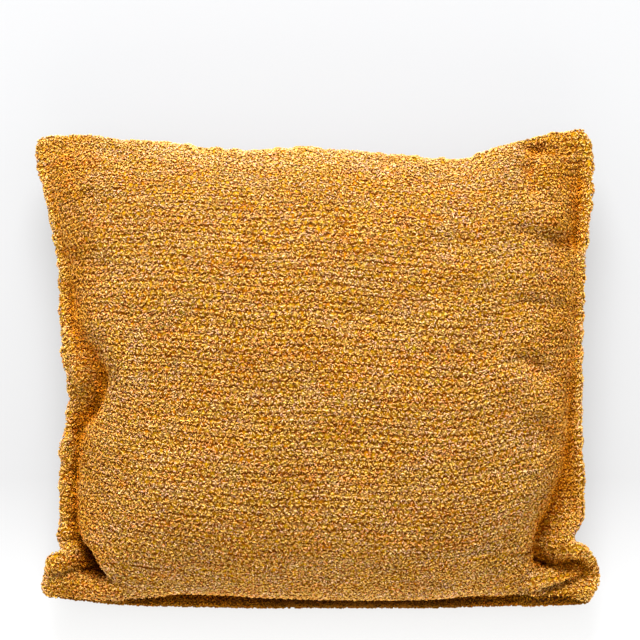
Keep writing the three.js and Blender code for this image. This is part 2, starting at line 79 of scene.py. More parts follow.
# (x, how far the front's lower lip stands back)
LOWER_LIP = [(-246, 1), (-232, 2), (-214, 3), (-196, 5), (-178, 6.5), (-154, 10), (-140, 12.5), (-120, 15), (-80, 15.5),
             (-50, 13.5), (-20, 12.5), (60, 11.5), (100, 11), (125, 12.5), (146, 13), (170, 12.5), (190, 12), (205, 11),
             (225, 9), (238, 4.5), (246, 2)]
# how many of the loops show in the shade under the lip, which also sets how dark their painted shade is, darker where
# fewer show: (x, share)
LIP_LOOPS = [(-246, 1), (-150, 1), (-110, 1), (-60, 0.8), (-30, 0.5), (120, 0.5), (150, 1), (246, 1)]
# rolls of cloth: (x0, y0, half width, rise, x1, y1, half width, rise)
ROLLS = [
    (-243, -178, 13, 12, -228, -170, 15, 29),   # left ear, upper
    (-249, -197, 12, 9, -180, -199, 16, 38),    # left ear, lower
    (-227, -150, 8, 13, -225, -64, 9, 15),      # left side, above the ear
    (-216, 24, 13, 20, -207, -6, 15, 31),       # left side, elbow
    (206, 164, 20, 24, 222, 184, 15, 15),       # top right corner
    (219, -96, 13, 15, 213, -157, 20, 34),      # right side, above the ear
    (226, -160, 13, 24, 246, -170, 12, 14),     # right ear, outer
    (192, -193, 14, 38, 232, -188, 10, 22),     # right ear, middle
    (192, -205, 14, 32, 250, -199, 13, 11),     # right ear, lower
]
# troughs (depth above 0) and ridges pressed into the front: (x0, y0, x1, y1, half width, depth)
FOLDS = [
    (-224, 198, -196, 196, 8, 5),       # top left
    (-202, 152, -196, 142, 9, 9),
    (-186, 190, -172, 184, 9, 9),
    (-226, 103, -194, 92, 9, 5),
    (-232, 184, -190, 112, 14, -4),
    (-207, 98, -215, 62, 13, 6),        # left valley
    (-215, 62, -211, 26, 13, 6),
    (-208, 26, -194, 4, 12, 6),
    (-194, 16, -188, -6, 11, 8),        # left hollow
    (-188, -14, -197, -37, 10, 11),
    (-197, -37, -212, -56, 9, 12),
    (-212, -60, -218, -95, 9, 8),
    (-218, -95, -219, -136, 8, 8),
    (-220, -138, -215, -150, 7, 9),
    (-214, -154, -206, -166, 4.5, 14),  # left ear's pit and creases
    (-206, -165, -195, -187, 4.5, 28),
    (-210, -171, -206, -184, 6, 14),
    (-213, -186, -194, -187, 4, 26),
    (-244, -187, -215, -186, 8, -13),
    (188, 197, 200, 193, 8, 22),        # top right
    (200, 193, 236, 193, 7, 8),
    (191, 190, 187, 176, 8, 13),
    (187, 176, 189, 158, 8, 13),
    (189, 158, 200, 146, 8, 9),
    (186, 155, 214, 125, 10, -7),
    (178, 119, 212, 111, 9, 10),
    (212, 111, 227, 117, 9, 8),
    (225, 120, 228, 170, 13, 12),
    (237, 182, 238, 181, 4, 9),
    (239, 168, 240, 164, 4.5, 10),
    (178, 59, 220, 56, 8, 6),           # right side
    (178, 9, 198, -1, 9, 9),
    (160, -8, 205, -38, 14, -5),
    (196, -44, 203, -64, 9, 8),
    (223, -12, 224, -42, 10, 5),
    (224, -42, 222, -77, 10, 5),
    (222, -77, 217, -112, 15, 12),
    (215, -112, 202, -138, 22, 13),
    (204, -138, 196, -162, 19, 10),
    (196, -175, 206, -181, 4, 15),      # right ear's creases
    (206, -181, 226, -183, 4, 27),
    (225, -181, 239, -172, 4, 13),
    (239, -182, 240, -185, 8, 20),
    (203, -199, 224, -194, 4, 14),
    (224, -194, 244, -190, 4, 20),
]

# ------------------------------------------------------------------------ small helpers


def mix(a, b, t):
    return a + (b - a) * t


def ease(t):
    c = np.clip(t, 0, 1)
    return c * c * (3 - 2 * c)


def along(rows, column, at):
    """A smooth curve through a table's rows that never overshoots them."""
    k = np.array([r[0] for r in rows], float)
    v = np.array([r[column] for r in rows], float)
    rise = (v[1:] - v[:-1]) / (k[1:] - k[:-1])
    slope = np.zeros(len(k))
    for a in range(1, len(k) - 1):
        if rise[a - 1] * rise[a] > 0:
            slope[a] = 2 * rise[a - 1] * rise[a] / (rise[a - 1] + rise[a])
    at = np.clip(at, k[0], k[-1])
    i = np.clip(np.searchsorted(k, at, side="right") - 1, 0, len(k) - 2)
    h = k[i + 1] - k[i]
    t = (at - k[i]) / h
    return ((2 * t**3 - 3 * t**2 + 1) * v[i] + (t**3 - 2 * t**2 + t) * h * slope[i]
            + (3 * t**2 - 2 * t**3) * v[i + 1] + (t**3 - t**2) * h * slope[i + 1])


def soft_max(a, b, blend):
    h = np.maximum(blend - np.abs(a - b), 0) / blend
    return np.maximum(a, b) + h * h * blend * 0.25


def near(x, y, x0, y0, x1, y1):
    dx, dy = x1 - x0, y1 - y0
    t = np.clip(((x - x0) * dx + (y - y0) * dy) / (dx * dx + dy * dy), 0, 1)
    return t, np.hypot(x - x0 - dx * t, y - y0 - dy * t)


def soft_noise(seed, x, y, size_x, size_y=None):
    """Smooth noise from -1 to 1 whose lumps are about size_x by size_y."""
    size_y = size_y or size_x
    rng = np.random.default_rng(seed)
    grid = rng.uniform(-1, 1, (256, 256))
    u, v = x / size_x + 1000.37, y / size_y + 1000.71
    iu, iv = np.floor(u).astype(int), np.floor(v).astype(int)
    fu, fv = ease(u - iu), ease(v - iv)
    at = lambda a, b: grid[a % 256, b % 256]
    return mix(mix(at(iu, iv), at(iu + 1, iv), fu), mix(at(iu, iv + 1), at(iu + 1, iv + 1), fu), fv)


def blur(grid, cells):
    """A Gaussian blur over a grid, its edges held."""
    reach = int(cells * 3)
    weight = np.exp(-0.5 * (np.arange(-reach, reach + 1) / cells) ** 2)
    weight /= weight.sum()
    for axis in (0, 1):
        # the edge is carried on by its point mirror image, so that its height and slope stay
        pad = [(0, 0), (0, 0)]
        pad[axis] = (reach, reach)
        wide = np.pad(grid, pad, mode="reflect", reflect_type="odd")
        size = grid.shape[axis]
        grid = sum(w * np.take(wide, np.arange(k, k + size), axis=axis) for k, w in enumerate(weight))
    return grid


# ---------------------------------------------------------------------- the cushion's form


def plan_at(s, t):
    bl, tl, br, tr = LEFT_OUTLINE[0], LEFT_OUTLINE[-1], RIGHT_OUTLINE[0], RIGHT_OUTLINE[-1]
    left_y, right_y = mix(bl[0], tl[0], t), mix(br[0], tr[0], t)
    bottom_x, top_x = mix(bl[1], br[1], s), mix(tl[1], tr[1], s)
    left_x, right_x = along(LEFT_OUTLINE, 1, left_y), along(RIGHT_OUTLINE, 1, right_y)
    bottom_y, top_y = along(BOTTOM_OUTLINE, 1, bottom_x), along(TOP_OUTLINE, 1, top_x)
    x = mix(left_x, right_x, s) + mix(bottom_x, top_x, t) - mix(mix(bl[1], br[1], s), mix(tl[1], tr[1], s), t)
    y = mix(left_y, right_y, s) + mix(bottom_y, top_y, t) - mix(mix(bl[0], br[0], s), mix(tl[0], tr[0], s), t)
    return x, y, left_x, right_x, bottom_y, top_y


def seam_height(s, t):
    q = SEAM_HEIGHT
    curve = lambda a, m, b, u: a * (1 - u) * (1 - 2 * u) + 4 * m * u * (1 - u) + b * u * (2 * u - 1)
    side = mix(curve(q["bottom_left"], q["left"], q["top_left"], t),
               curve(q["bottom_right"], q["right"], q["top_right"], t), s)
    end = mix(curve(q["bottom_left"], q["bottom"], q["bottom_right"], s),
              curve(q["top_left"], q["top"], q["top_right"], s), t)
    return side + end - mix(mix(q["bottom_left"], q["bottom_right"], s), mix(q["top_left"], q["top_right"], s), t)


def front_height(s, t, plan):
    x, y, left_x, right_x, bottom_y, top_y = plan
    seam = seam_height(s, t)
    from_left, from_right = x - left_x, right_x - x
    from_side = np.minimum(from_left, from_right)
    strip = np.where(from_side < SEAM_STRIP, SEAM_RIDGE * np.sin(np.pi * (from_side + 2) / (SEAM_STRIP + 2)),
                     -SEAM_GROOVE * np.exp(-(((from_side - SEAM_STRIP - 2) / 4) ** 2)))
    height = seam + EDGE_THICKNESS / 2 + strip

    left_side, right_side = along(LEFT_FACE, 1, y), along(RIGHT_FACE, 1, y)
    across = np.clip((np.minimum(x - left_side, right_side - x) - SEAM_STRIP) / (FACE_REACH - SEAM_STRIP), 0, 1)
    on_left = from_left < from_right
    tuck_x = np.where(on_left, along(LEFT_TUCK, 1, y), along(RIGHT_TUCK, 1, y))
    reach = np.where(on_left, along(LEFT_TUCK, 2, y), along(RIGHT_TUCK, 2, y))
    hold = np.where(on_left, along(LEFT_TUCK, 3, y), along(RIGHT_TUCK, 3, y))
    into = np.where(on_left, x - tuck_x, tuck_x - x)
    wall = np.sqrt(1 - (1 - np.clip(into / reach, 0, 1)) ** 2)
    tuck = 1 - hold * (1 - wall)
    down = np.clip((top_y - y) / TOP_REACH, 0, 1)
    up = np.clip((y - bottom_y - along(LOWER_LIP, 1, x)) / BOTTOM_REACH, 0, 1)
    swell = (tuck * (1 - (1 - across) ** SIDE_ROUND) ** SIDE_POWER * np.sqrt(1 - (1 - down) ** TOP_ROUND)
             * np.sqrt(1 - (1 - up) ** BOTTOM_ROUND))
    height = soft_max(height, seam + CROWN * swell, 6.0)

    for x0, y0, r0, rise0, x1, y1, r1, rise1 in ROLLS:
        u, away = near(x, y, x0, y0, x1, y1)
        off = np.minimum(away / mix(r0, r1, u), 3)
        height = soft_max(height, seam + mix(rise0, rise1, u) * (1 - off * off), 6.0)

    pressed = np.zeros_like(height)
    for x0, y0, x1, y1, half, depth in FOLDS:
        away = near(x, y, x0, y0, x1, y1)[1]
        pressed += depth * np.exp(-((away / half) ** 2))
    # a fold never goes through to the back
    room = height - np.maximum(back_height(s, t, plan) + 6, seam - 14)
    sunk = room * (1 - np.exp(-np.maximum(pressed, 0) / np.maximum(room, 1)))
    return height - np.where(pressed > 0, sunk, pressed * ease(room / 20))


def back_height(s, t, plan):
    x, y, left_x, right_x, bottom_y, top_y = plan
    seam = seam_height(s, t) - EDGE_THICKNESS / 2
    across = np.clip(np.minimum(x - left_x, right_x - x) / BACK_ROLL_SIDE, 0, 1)
    lengthwise = np.clip(np.minimum(y - bottom_y, top_y - y) / BACK_ROLL_END, 0, 1)
    off = np.minimum(1, np.cbrt((1 - across) ** 3 + (1 - lengthwise) ** 3))
    return seam * off**3


def edge_lumps(run, seed):
    """How far the turns of yarn stand out past an edge, one uneven lump after another."""
    rng = np.random.default_rng(seed)
    at, out = -262.0, np.zeros_like(run)
    while at < 262:
        at += rng.uniform(6.5, 12.5)
        out += rng.uniform(-1.6, 2.2) * np.exp(-(((run - at) / rng.uniform(3.0, 4.6)) ** 2))
    return out


class Face:
    """One side of the cushion as a surface in cloth coordinates: a across and b up, each 0 to 1 by length of cloth."""

    def __init__(self, height_of, facing, nx=520, ny=440):
        self.facing = facing
        s, t = np.meshgrid(np.linspace(0, 1, nx), np.linspace(0, 1, ny))
        plan = plan_at(s, t)
        x, y, left_x, right_x, bottom_y, top_y = plan
        height = height_of(s, t, plan)
        left = edge_lumps(y, 61) * np.exp(-(((x - left_x) / 7) ** 2))
        right = edge_lumps(y, 62) * np.exp(-(((right_x - x) / 7) ** 2))
        if facing > 0:
            height += 0.5 * (left + right) * np.minimum(1, np.minimum(x - left_x, right_x - x) / 3)
        top = 0.8 * edge_lumps(x, 63) * np.exp(-(((top_y - y) / 6) ** 2))
        self.raw = np.stack([x + right - left, y + top + SET_UP, height], -1)
        self.from_edge = np.minimum(np.minimum(x - left_x, right_x - x), np.minimum(y - bottom_y, top_y - y))
        lip, from_bottom = along(LOWER_LIP, 1, x), y - bottom_y
        # under_lip marks the cloth under the front's lower lip, which lies lower and gets painted shade; under_depth,
        # how far in under the lip a place lies, sets how dark that painted shade is
        self.under_lip = ease((lip + 1.5 - from_bottom) / 2.5) if facing > 0 else 0 * s
        self.under_depth = ease(from_bottom / (0.4 * lip + 0.5))
        # how far a place lies down in a crease, and in a wide hollow, each 0 to 1; they set where shade is painted into
        # the colour
        self.cavity = np.clip((blur(height, 9) - height - 7) / 10, 0, 1)
        self.hollow = np.clip((blur(height, 22) - height) / 13, 0, 1)

    def lay_cloth(self):
        """Finds where the cloth's threads lie on the form."""
        ny, nx = self.raw.shape[:2]
        # cloth is measured over the form with its sharp folds eased, so that its threads run evenly through them
        eased = self.raw.copy()
        eased[..., 2] = blur(eased[..., 2], 12)
        step_a = np.linalg.norm(np.diff(eased, axis=1), axis=2)
        step_b = np.linalg.norm(np.diff(eased, axis=0), axis=2)
        self.len_a = np.concatenate([np.zeros((ny, 1)), np.cumsum(step_a, 1)], 1)
        self.len_b = np.concatenate([np.zeros((1, nx)), np.cumsum(step_b, 0)], 0)
        self.cloth_a, self.cloth_b = float(self.len_a[:, -1].mean()), float(self.len_b[-1].mean())
        share_a, share_b = self.len_a / self.len_a[:, -1:], self.len_b / self.len_b[-1:]
        # the same surface on an even grid of cloth
        a, b = np.meshgrid(np.linspace(0, 1, nx), np.linspace(0, 1, ny))
        s, t = a.copy(), b.copy()
        for _ in range(14):
            s = np.clip(s + (a - self.sample(share_a, s, t)), 0, 1)
            t = np.clip(t + (b - self.sample(share_b, s, t)), 0, 1)
        s[:, 0], s[:, -1], t[0], t[-1] = 0, 1, 0, 1
        self.point = self.sample(self.raw, s, t)
        for name in ("under_lip", "under_depth", "cavity", "hollow"):
            setattr(self, name, self.sample(getattr(self, name), s, t))
        da, db = np.gradient(self.point, axis=1), np.gradient(self.point, axis=0)
        area = np.linalg.norm(np.cross(da, db), axis=2)
        self.stretch = area * (nx - 1) * (ny - 1) / (self.cloth_a * self.cloth_b)
        # threads stand on the surface as seen over a few millimetres
        eased = self.point.copy()
        eased[..., 2] = blur(eased[..., 2], 3)
        da, db = np.gradient(eased, axis=1), np.gradient(eased, axis=0)
        self.along_a = da / np.linalg.norm(da, axis=2, keepdims=True)
        n = np.cross(da, db) * self.facing
        self.normal = n / np.maximum(np.linalg.norm(n, axis=2, keepdims=True), 1e-9)

    @staticmethod
    def sample(grid, s, t):
        ny, nx = grid.shape[:2]
        u, v = np.clip(s, 0, 1) * (nx - 1), np.clip(t, 0, 1) * (ny - 1)
        i, j = np.minimum(u.astype(int), nx - 2), np.minimum(v.astype(int), ny - 2)
        fu, fv = u - i, v - j
        if grid.ndim == 3:
            fu, fv = fu[..., None], fv[..., None]
        return mix(mix(grid[j, i], grid[j, i + 1], fu), mix(grid[j + 1, i], grid[j + 1, i + 1], fu), fv)


CLOTH_CELL = 7                          # grid points of a Face to one of the skin that the cloth pass moves
CLOTH_CAP, CLOTH_EVEN = 4.0, 9          # mm that a point may move; cells over which an even swelling is taken out


def settle(faces):
    """Runs the filled cover as cloth under a soft pressure, its outline held, and moves the faces by the creases it makes."""
    ny, nx = faces[0].raw.shape[:2]
    rows = np.append(np.arange(0, ny - 1, CLOTH_CELL), ny - 1)
    columns = np.append(np.arange(0, nx - 1, CLOTH_CELL), nx - 1)
    shape = (len(rows), len(columns))
    skins = [face.raw[np.ix_(rows, columns)].reshape(-1, 3) for face in faces]
    count = len(skins[0])
    index = np.arange(count).reshape(shape)
    quads = np.stack([index[:-1, :-1], index[:-1, 1:], index[1:, 1:], index[1:, :-1]], -1).reshape(-1, 4)
    rim = np.concatenate([index[0, :-1], index[:-1, -1], index[-1, :0:-1], index[:0:-1, 0]])
    wall = np.stack([rim + count, np.roll(rim, -1) + count, np.roll(rim, -1), rim], -1)
    me = bpy.data.meshes.new("skin")
    me.from_pydata((np.concatenate(skins) / 1000).tolist(), [], np.concatenate([quads, quads[:, ::-1] + count, wall]).tolist())
    skin = bpy.data.objects.new("skin", me)
    bpy.context.scene.collection.objects.link(skin)
    held = skin.vertex_groups.new(name="held")
    held.add(np.concatenate([rim, rim + count]).tolist(), 1.0, "REPLACE")
    cloth = skin.modifiers.new("Cloth", "CLOTH")
    cloth.settings.use_pressure = True
    cloth.settings.uniform_pressure_force = 4.0
    cloth.settings.vertex_group_mass = "held"
    cloth.settings.effector_weights.gravity = 0.0
    cloth.settings.quality = 6
    cloth.point_cache.frame_end = 20
    bpy.context.view_layer.objects.active = skin
    for frame_no in range(1, 21):
        bpy.context.scene.frame_set(frame_no)
    bpy.ops.object.modifier_apply(modifier=cloth.name)
    bpy.context.scene.frame_set(1)
    settled = np.empty(count * 6, np.float32)
    skin.data.vertices.foreach_get("co", settled)
    settled = settled.reshape(2, count, 3) * 1000.0
    bpy.data.objects.remove(skin)
    t, s = np.meshgrid(np.linspace(0, 1, ny), np.linspace(0, 1, nx), indexing="ij")
    u = np.interp(s, columns / (nx - 1), np.linspace(0, 1, shape[1]))
    v = np.interp(t, rows / (ny - 1), np.linspace(0, 1, shape[0]))
    for face, before, after in zip(faces, skins, settled):
        move = (after - before).reshape(*shape, 3)
        even = np.stack([blur(move[..., k], CLOTH_EVEN) for k in range(3)], -1)
        print("cloth pass: moved", np.abs(move).max().round(1), "mm, even", np.abs(even).max().round(1))
        move = move - even
        far = np.linalg.norm(move, axis=-1, keepdims=True)
        move *= CLOTH_CAP * np.tanh(far / CLOTH_CAP) / np.maximum(far, 1e-9)
        move = Face.sample(move, u, v)
        move = np.stack([blur(move[..., k], 3) for k in range(3)], -1) * ease(face.from_edge / 12)[..., None]
        if face.facing < 0:
            move *= ease(face.raw[..., 2:] / 12)        # what rests stays flat
        face.raw += move
        print("kept", np.abs(move).max().round(2), "mm, mean", np.abs(move[..., 2]).mean().round(2))


FRONT, BACK = Face(front_height, 1), Face(back_height, -1)
settle((FRONT, BACK))
FRONT.lay_cloth()
BACK.lay_cloth()

# ------------------------------------------------------------------------ the woven cloth

COLUMN_PITCH, ROW_PITCH = 6.5, 7.2      # from one loop of the weave to the next, and from row to row
LOOP_HEIGHT, LOOP_SINK = 1.6, 0.6       # the weave's relief, and how far its gaps lie under the CAD surface
ROWS = round(FRONT.cloth_b / ROW_PITCH)
COLUMNS = round(FRONT.cloth_a / COLUMN_PITCH)
BACK_ROWS = round(BACK.cloth_b / ROW_PITCH)
BACK_COLUMNS = round(BACK.cloth_a / COLUMN_PITCH)
print("cloth", round(FRONT.cloth_a), round(FRONT.cloth_b), COLUMNS, ROWS,
      "back", round(BACK.cloth_a), round(BACK.cloth_b), BACK_COLUMNS, BACK_ROWS)

# the melange: (share, red, green, blue as seen)
YARN = [
    (0.32, 0.85, 0.665, 0.13),  # ochre
    (0.14, 0.88, 0.56, 0.10),   # amber
    (0.20, 0.88, 0.73, 0.26),   # straw
    (0.12, 0.90, 0.79, 0.62),   # cream
    (0.12, 0.84, 0.67, 0.65),   # lilac grey
    (0.05, 0.75, 0.69, 0.28),   # moss
    (0.05, 0.61, 0.36, 0.05),   # brown
]
# painted shade in the weave's gaps, where its rows and loops shade one another
GAP_SHADE_BROWN = (0.40, 0.165, 0.005)
# painted shade under the front's lower lip: its colour at the outer edge and deep under the lip
UNDER_LIP_SHADE_EDGE, UNDER_LIP_SHADE_DEEP = (0.40, 0.24, 0.03), (0.22, 0.11, 0.0)


def linear(c):
    c = np.asarray(c, float)
    return np.where(c <= 0.04045, c / 12.92, ((c + 0.055) / 1.055) ** 2.4)


def yarn_colour(rng, u, v):
    """Mostly ochre, amber and straw, with paler and greyer runs a few loops long along the rows."""
    share = np.array([y[0] for y in YARN])
    rgb = linear(np.array([y[1:] for y in YARN]))
    weight = np.repeat(share[None], len(u), 0)
    weight[:, 3:6] *= np.exp(2.2 * soft_noise(11, u, v, 17, 6))[:, None]
    weight[:, 1] *= np.exp(1.6 * soft_noise(12, u, v, 34, 9))
    weight[:, 6] *= np.exp(1.5 * soft_noise(14, u, v, 26, 8))
    weight /= weight.sum(1, keepdims=True)
    pick = (np.cumsum(weight, 1) < rng.random(len(u))[:, None]).sum(1)
    c = rgb[np.minimum(pick, len(YARN) - 1)]
    c = mix(c, rgb[0], rng.uniform(0.0, 0.45, len(u))[:, None])
    value = np.exp(rng.normal(0, 0.11, len(u)) + 0.06 * soft_noise(13, u, v, 80, 9) + 0.07 * soft_noise(15, u, v, 34, 14))
    return c * value[:, None]


def painted_light_and_shade(face, a, b):
    """Painted light and shade multiplied into the colour: lighter and paler on the side strips, browner in a band
    beside them, browner and darker in a wide hollow, and much darker in a crease, where light comes from cloth to
    cloth.
    """
    far = np.minimum(a, 1 - a) * face.cloth_a
    # painted light: the side strips lighter and paler
    tint = mix(np.ones(3), np.array((1.22, 1.36, 1.42)), np.exp(-((far / 13) ** 2))[..., None])
    # painted shade: browner in a band some 28 mm in from the sides
    tint = tint * mix(np.ones(3), np.array((0.96, 0.83, 0.49)), np.exp(-(((far - 28) / 30) ** 2))[..., None])
    # painted shade: browner and darker in a wide hollow
    tint = tint * mix(np.ones(3), np.array((0.98, 0.69, 0.16)), Face.sample(face.hollow, a, b)[..., None])
    # painted shade: much darker in a crease
    return tint * mix(np.ones(3), np.array((0.24, 0.125, 0.03)), Face.sample(face.cavity, a, b)[..., None])


def two_ply(rng, u, v):
    """The colours at a curl's two ends: half the curls change colour along their length."""
    first, second = yarn_colour(rng, u, v), yarn_colour(rng, u, v)
    second = np.where(rng.random(len(u))[:, None] < 0.5, first, second)
    return np.stack([first, second], 1)


SCALLOP = 0.17                          # how far a row's edge swings round the bumps, of the row's height


def row_edge(j, across):
    """Where the gap under row j runs, in rows, at a place across the cloth counted in loops."""
    return j + SCALLOP * np.cos(2 * np.pi * (across + 0.5 * (j % 2)))


def weave_relief(a, b, columns, rows):
    """Height of the weave, from 0 in its gaps to 1 on its bumps; odd rows stand half a bump over."""
    across, up = a * columns, b * rows
    nearest = np.round(up)
    row = np.where(up > row_edge(nearest, across), nearest, nearest - 1)
    low, high = row_edge(row, across), row_edge(row + 1, across)
    t = np.clip((up - low) / (high - low), 0, 1)
    bump = np.abs(np.sin(np.pi * (across + 0.5 * (row % 2))))
    return (0.3 + 0.7 * bump) * np.sin(np.pi * t) ** 0.6


def new_mesh(name, verts_mm, colours, quads, tris=None, uv=None):
    """A smooth mesh object from arrays of vertices, their colours, and four- and three-sided faces."""
    me = bpy.data.meshes.new(name)
    parts = [f for f in (quads, tris) if f is not None and len(f)]
    loops = np.concatenate([f.ravel() for f in parts]).astype(np.int32)
    sizes = np.concatenate([np.full(len(f), f.shape[1], np.int32) for f in parts])
    me.vertices.add(len(verts_mm))
    me.vertices.foreach_set("co", (np.asarray(verts_mm, np.float32) / 1000).ravel())
    me.loops.add(len(loops))
    me.loops.foreach_set("vertex_index", loops)
    me.polygons.add(len(sizes))
    me.polygons.foreach_set("loop_start", np.concatenate([[0], np.cumsum(sizes)[:-1]]).astype(np.int32))
    me.polygons.foreach_set("use_smooth", np.ones(len(sizes), bool))
    if uv is not None:
        me.uv_layers.new(name="OFBake")
        me.uv_layers["OFBake"].data.foreach_set("uv", np.asarray(uv, np.float32).ravel())
    me.update(calc_edges=True)
    # the colours hold the yarn's own colours with painted light and shade multiplied in
    rgba = np.ones((len(verts_mm), 4), np.float32)
    rgba[:, :3] = colours
    me.color_attributes.new("yarn", "FLOAT_COLOR", "POINT").data.foreach_set("color", rgba.ravel())
    ob = bpy.data.objects.new(name, me)
    bpy.context.scene.collection.objects.link(ob)
    return ob


def build_ground():
    """The cloth under the curls, front and back in one closed mesh: two points a loop across and three a row."""
    verts, cols, quads, uvs = [], [], [], []
    grids = []
    for side, (face, columns, rows) in enumerate(((FRONT, COLUMNS, ROWS), (BACK, COLUMNS, ROWS))):
        nx, ny = 2 * columns + 1, 3 * rows + 1
        a, b = np.meshgrid(np.linspace(0, 1, nx), np.linspace(0, 1, ny))
        i, j = np.meshgrid(np.arange(nx), np.arange(ny))
        on_bump = (i + (j // 3)) % 2 == 1
        low = row_edge(j // 3, i / 2)
        b = np.clip(mix(low, row_edge(j // 3 + 1, i / 2), (j % 3) / 3) / rows, 0, 1)
        b[0], b[-1] = 0, 1
        relief = np.where(j % 3 == 0, 0.0, np.where(on_bump, 1.0, 0.3))
        p, n = Face.sample(face.point, a, b), Face.sample(face.normal, a, b)
        edge = ease(np.minimum(np.minimum(a, 1 - a) * face.cloth_a, np.minimum(b, 1 - b) * face.cloth_b) / 5)
        lip = Face.sample(face.under_lip, a, b)
        q = p + n * ((LOOP_HEIGHT * 0.9 * relief * (1 - lip) - LOOP_SINK) * edge)[..., None]
        q[..., 2] = np.maximum(q[..., 2], 0.3 if side else 1.0)
        rng = np.random.default_rng(31 + side)
        # painted shade: the ground's yarn colour is darker and browner, as it lies under the curls, and where its
        # relief is low it goes to the gaps' painted shade
        c = yarn_colour(rng, (a * face.cloth_a).ravel(), (b * face.cloth_b).ravel()).reshape(ny, nx, 3) * (0.60, 0.52, 0.16)
        shows = np.maximum(relief * 0.9 + 0.05, 0.9 * ease((Face.sample(face.stretch, a, b) - 1.5) / 1.5))
        shows = np.maximum(shows, 0.45 * (1 - edge))
        c = mix(linear(GAP_SHADE_BROWN), c, shows[..., None])
        # painted shade under the lip: dark brown at the outer edge, near black further in
        depth = Face.sample(face.under_depth, a, b)[..., None]
        c = mix(c, mix(linear(UNDER_LIP_SHADE_EDGE), linear(UNDER_LIP_SHADE_DEEP), depth), lip[..., None])
        c = c * painted_light_and_shade(face, a, b)
        idx = np.arange(nx * ny).reshape(ny, nx) + sum(map(len, verts))
        q4 = np.stack([idx[:-1, :-1], idx[:-1, 1:], idx[1:, 1:], idx[1:, :-1]], -1).reshape(-1, 4)
        uv = np.stack([0.005 + 0.49 * a + 0.5 * side, 0.005 + 0.99 * b], -1).reshape(-1, 2)
        if side:
            q4 = q4[:, ::-1]
        verts.append(q.reshape(-1, 3))
        cols.append(c.reshape(-1, 3))
        quads.append(q4)
        uvs.append(uv)
        grids.append(idx)
    uv_at = np.concatenate(uvs)
    flat = np.concatenate(quads)
    f, k = grids
    ring = lambda g: np.concatenate([g[0, :-1], g[:-1, -1], g[-1, :0:-1], g[:0:-1, 0]])
    rf, rk = ring(f), ring(k)
    wall = np.stack([rk, np.roll(rk, -1), np.roll(rf, -1), rf], -1)
    all_quads = np.concatenate([flat, wall])
    loop_uv = np.concatenate([uv_at[flat.ravel()], uv_at[wall.ravel()]])
    # the rim's faces lie along the front's edge in the bake map
    return new_mesh("cover_cloth", np.concatenate(verts), np.concatenate(cols), all_quads, uv=loop_uv)


# -------------------------------------------------------------------------- the yarn's curls

SIDES = 3
CURL_TAU = np.array([-1.0, -0.45, 0.45, 1.0])       # a curl's stations along its arc: a point, two rings, a point
NUB_TAU = np.array([-1.0, 0.0, 1.0])                # a nub's: a point, one ring, a point
# painted highlight and shade on each curl: the first for its top, the next, darker and browner, for its sides, the
# last, darkest, for its two ends
CREST_HIGHLIGHT, FLANK_SHADE, END_SHADE = (0.99, 1.01, 1.02), (0.82, 0.58, 0.07), (0.36, 0.165, 0.0)
PALE_HIGHLIGHT, CREST_HIGHLIGHT_SHARE = (1.0, 0.84, 0.70), 0.34      # painted highlight along a curl's top: its colour, and how far the top is drawn towards it
LOW_DOWN_SHADE = (0.75, 0.635, 0.26)                   # painted shade on a curl's colour down in the weave's gaps


def tube_faces(n, rings):
    """Faces of n tubes of three sides, each with two pointed ends."""
    count = 2 + SIDES * rings
    base = (np.arange(n) * count)[:, None]
    at = lambda r, k: 1 + SIDES * r + k % SIDES
    quads = np.array([[at(r, k), at(r, k + 1), at(r + 1, k + 1), at(r + 1, k)]
                      for r in range(rings - 1) for k in range(SIDES)])
    tris = np.array([[0, at(0, k + 1), at(0, k)] for k in range(SIDES)]
                    + [[count - 1, at(rings - 1, k), at(rings - 1, k + 1)] for k in range(SIDES)])
    return (base + quads.reshape(1, -1)).reshape(-1, 4), (base + tris.reshape(1, -1)).reshape(-1, 3)


def tube_uv(n, rings):
    """One small cell of the bake map for each tube."""
    across = math.ceil(math.sqrt(n))
    stations = np.linspace(0, 1, rings + 2)
    quad, tri = [], []
    for r in range(rings - 1):
        for k in range(SIDES):
            u0, u1, v0, v1 = k / SIDES, (k + 1) / SIDES, stations[r + 1], stations[r + 2]
            quad += [(u0, v0), (u1, v0), (u1, v1), (u0, v1)]
    for k in range(SIDES):
        tri += [((k + 0.5) / SIDES, 0), ((k + 1) / SIDES, stations[1]), (k / SIDES, stations[1])]
    for k in range(SIDES):
        tri += [((k + 0.5) / SIDES, 1), (k / SIDES, stations[-2]), ((k + 1) / SIDES, stations[-2])]
    cell = np.stack([np.arange(n) % across, np.arange(n) // across], -1)[:, None]
    place = lambda local: ((cell + 0.1 + 0.8 * np.array(local)[None]) / across).reshape(-1, 2)
    return np.concatenate([place(local) for local in (quad, tri) if local])


def tubes(line, up, girth):
    """Vertices of tubes along each row of points in line, thickest at the rings; up is away from the cloth."""
    n, stations = line.shape[:2]
    rings = stations - 2
    dirs = np.gradient(line, axis=1)
    dirs /= np.maximum(np.linalg.norm(dirs, axis=2, keepdims=True), 1e-9)
    out = np.empty((n, 2 + SIDES * rings, 3))
    out[:, 0], out[:, -1] = line[:, 0], line[:, -1]
    for r in range(rings):
        d = dirs[:, r + 1]
        u = up[:, r + 1] if up.ndim == 3 else up
        side = np.cross(d, u)
        side /= np.maximum(np.linalg.norm(side, axis=1, keepdims=True), 1e-9)
        top = np.cross(side, d)
        for k in range(SIDES):
            ang = math.pi / 2 + 2 * math.pi * k / SIDES
            out[:, 1 + SIDES * r + k] = line[:, r + 1] + (side * math.cos(ang) + top * math.sin(ang)) * girth[:, r, None]
    return out


